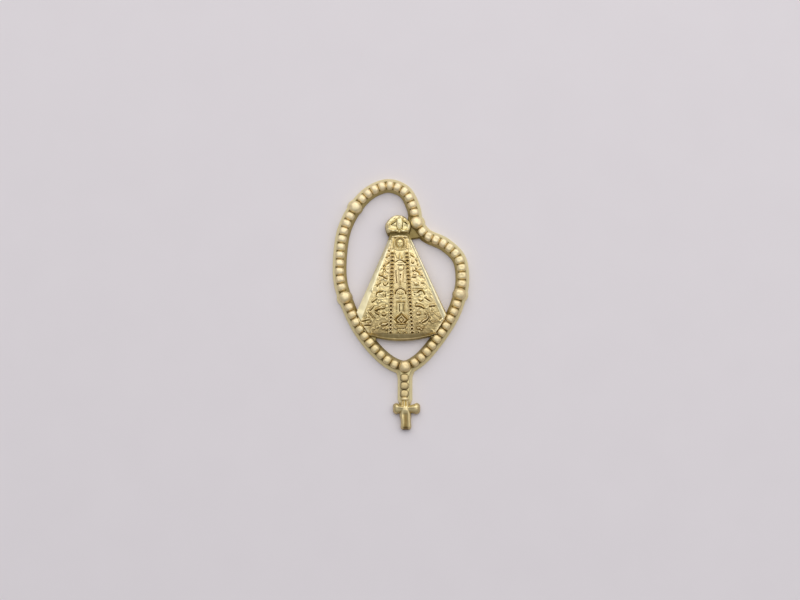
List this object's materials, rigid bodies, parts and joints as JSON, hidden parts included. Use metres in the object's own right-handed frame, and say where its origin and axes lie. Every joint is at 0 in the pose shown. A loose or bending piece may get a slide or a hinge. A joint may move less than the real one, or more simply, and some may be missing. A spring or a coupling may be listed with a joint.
{
  "type": "virgin mary pendant",
  "caption": "Flat gilt pendant in relief: a crowned Madonna in a flared mantle inside an open heart of rosary beads, with a beaded stem and a flared cross below.",
  "frame": {"origin": "middle of the pendant's box in X and Y, on the plane of its flat back", "axes": "the pendant lies on its back: +Z out of its relief front, +Y up from the cross to the top of the heart, +X to the right as the front is seen"},
  "size_m": [0.0274, 0.0504, 0.0032],
  "materials": {
    "gilt_band": "satin cast gilding, darker in the recesses",
    "gilt_beads": "pale gilding, worn bright on the tops of the beads",
    "gilt_figure": "pale satin gilding with olive recesses",
    "gilt_crown": "pale gilding, bright on the arches and jewels"
  },
  "bodies": {
    "root": {"base": "gilt_band", "large_bead_centre": "gilt_beads", "decade_lower_left": "gilt_beads", "large_bead_left": "gilt_beads", "decade_left": "gilt_beads", "large_bead_top": "gilt_beads", "decade_top": "gilt_beads", "large_bead_upper_right": "gilt_beads", "decade_upper_right": "gilt_beads", "large_bead_lower_right": "gilt_beads", "decade_lower_right": "gilt_beads", "drop_bead_1": "gilt_beads", "drop_bead_2": "gilt_beads", "drop_bead_3": "gilt_beads", "cross": "gilt_figure", "cross_relief": "gilt_figure", "cross_collar": "gilt_beads", "mantle": "gilt_figure", "hem_left": "gilt_figure", "hem_right": "gilt_figure", "hem_front": "gilt_figure", "field_left": "gilt_figure", "field_right": "gilt_figure", "lace_left": "gilt_figure", "lace_right": "gilt_figure", "front_panel": "gilt_figure", "sash": "gilt_figure", "niche": "gilt_figure", "medallion": "gilt_figure", "pleat_1": "gilt_figure", "pleat_2": "gilt_figure", "pleat_3": "gilt_figure", "rhombus_frame": "gilt_figure", "rhombus_bead": "gilt_figure", "crescent": "gilt_figure", "side_cord_left": "gilt_figure", "side_cord_right": "gilt_figure", "veil": "gilt_figure", "head": "gilt_figure", "collar": "gilt_figure", "hands": "gilt_figure", "sleeve_left": "gilt_figure", "sleeve_right": "gilt_figure", "crown_cap": "gilt_crown", "crown_band": "gilt_crown", "crown_arches": "gilt_crown"}
  },
  "joints": []
}
